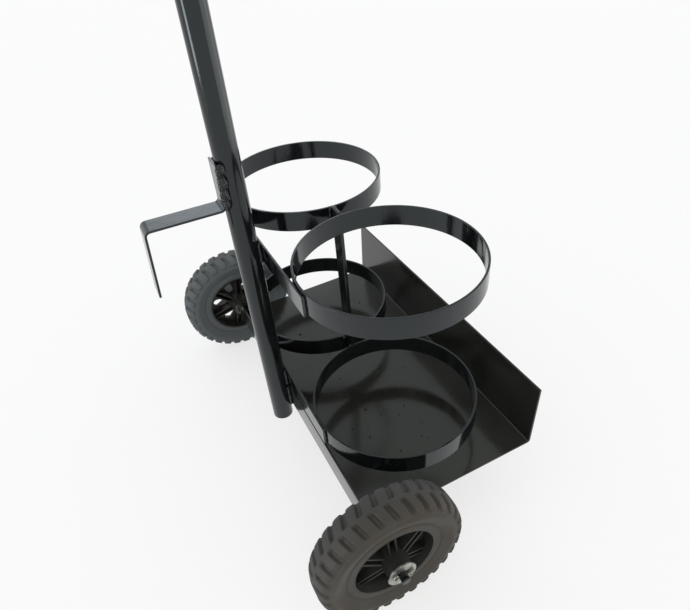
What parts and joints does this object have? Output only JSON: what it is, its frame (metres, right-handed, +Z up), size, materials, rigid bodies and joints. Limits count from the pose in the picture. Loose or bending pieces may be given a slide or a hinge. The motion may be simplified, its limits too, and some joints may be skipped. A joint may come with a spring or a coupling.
{
  "type": "double cylinder cart",
  "caption": "Handcart for gas cylinders: folded steel tray, flat-bar retaining rings, tube column with T-handle, hose hook and lugged rubber wheels",
  "frame": {"origin": "on the ground, under the middle of the cart's box", "axes": "+X to the operator's right along the axles, +Y to the front lip, +Z up the column"},
  "size_m": [0.7054, 0.4228, 1.0602],
  "materials": {
    "black_paint": "gloss black enamel on steel",
    "zinc": "bright zinc plate",
    "tyre_rubber": "matt moulded rubber, dusty on the tread",
    "rim_plastic": "satin moulded black plastic",
    "bush_nylon": "plain nylon",
    "grip_rubber": "matt ridged rubber"
  },
  "bodies": {
    "frame": {"base_tray": "black_paint", "centre_post": "black_paint", "lower_cross_strap": "black_paint", "upper_cross_strap": "black_paint", "column_tube": "black_paint", "handle_crossbar": "black_paint", "hose_hook": "black_paint", "front_stand": "black_paint", "lower_ring_left": "black_paint", "upper_ring_left": "black_paint", "stub_axle_left": "black_paint", "axle_spacer_left": "black_paint", "inner_washer_left": "zinc", "outer_washer_left": "zinc", "split_pin_left": "zinc", "grip_left": "grip_rubber", "lower_ring_right": "black_paint", "upper_ring_right": "black_paint", "stub_axle_right": "black_paint", "axle_spacer_right": "black_paint", "inner_washer_right": "zinc", "outer_washer_right": "zinc", "split_pin_right": "zinc", "grip_right": "grip_rubber"},
    "wheel_left": {"tyre_left": "tyre_rubber", "rim_left": "rim_plastic", "bush_left": "bush_nylon"},
    "wheel_right": {"tyre_right": "tyre_rubber", "rim_right": "rim_plastic", "bush_right": "bush_nylon"}
  },
  "joints": [
    {"name": "left_wheel_spin", "type": "hinge", "parent": "frame", "child": "wheel_left", "pos_m": [-0.304, -0.06161, 0.1035], "axis": [1, 0, 0], "continuous": true},
    {"name": "right_wheel_spin", "type": "hinge", "parent": "frame", "child": "wheel_right", "pos_m": [0.304, -0.06161, 0.1035], "axis": [1, 0, 0], "continuous": true}
  ]
}
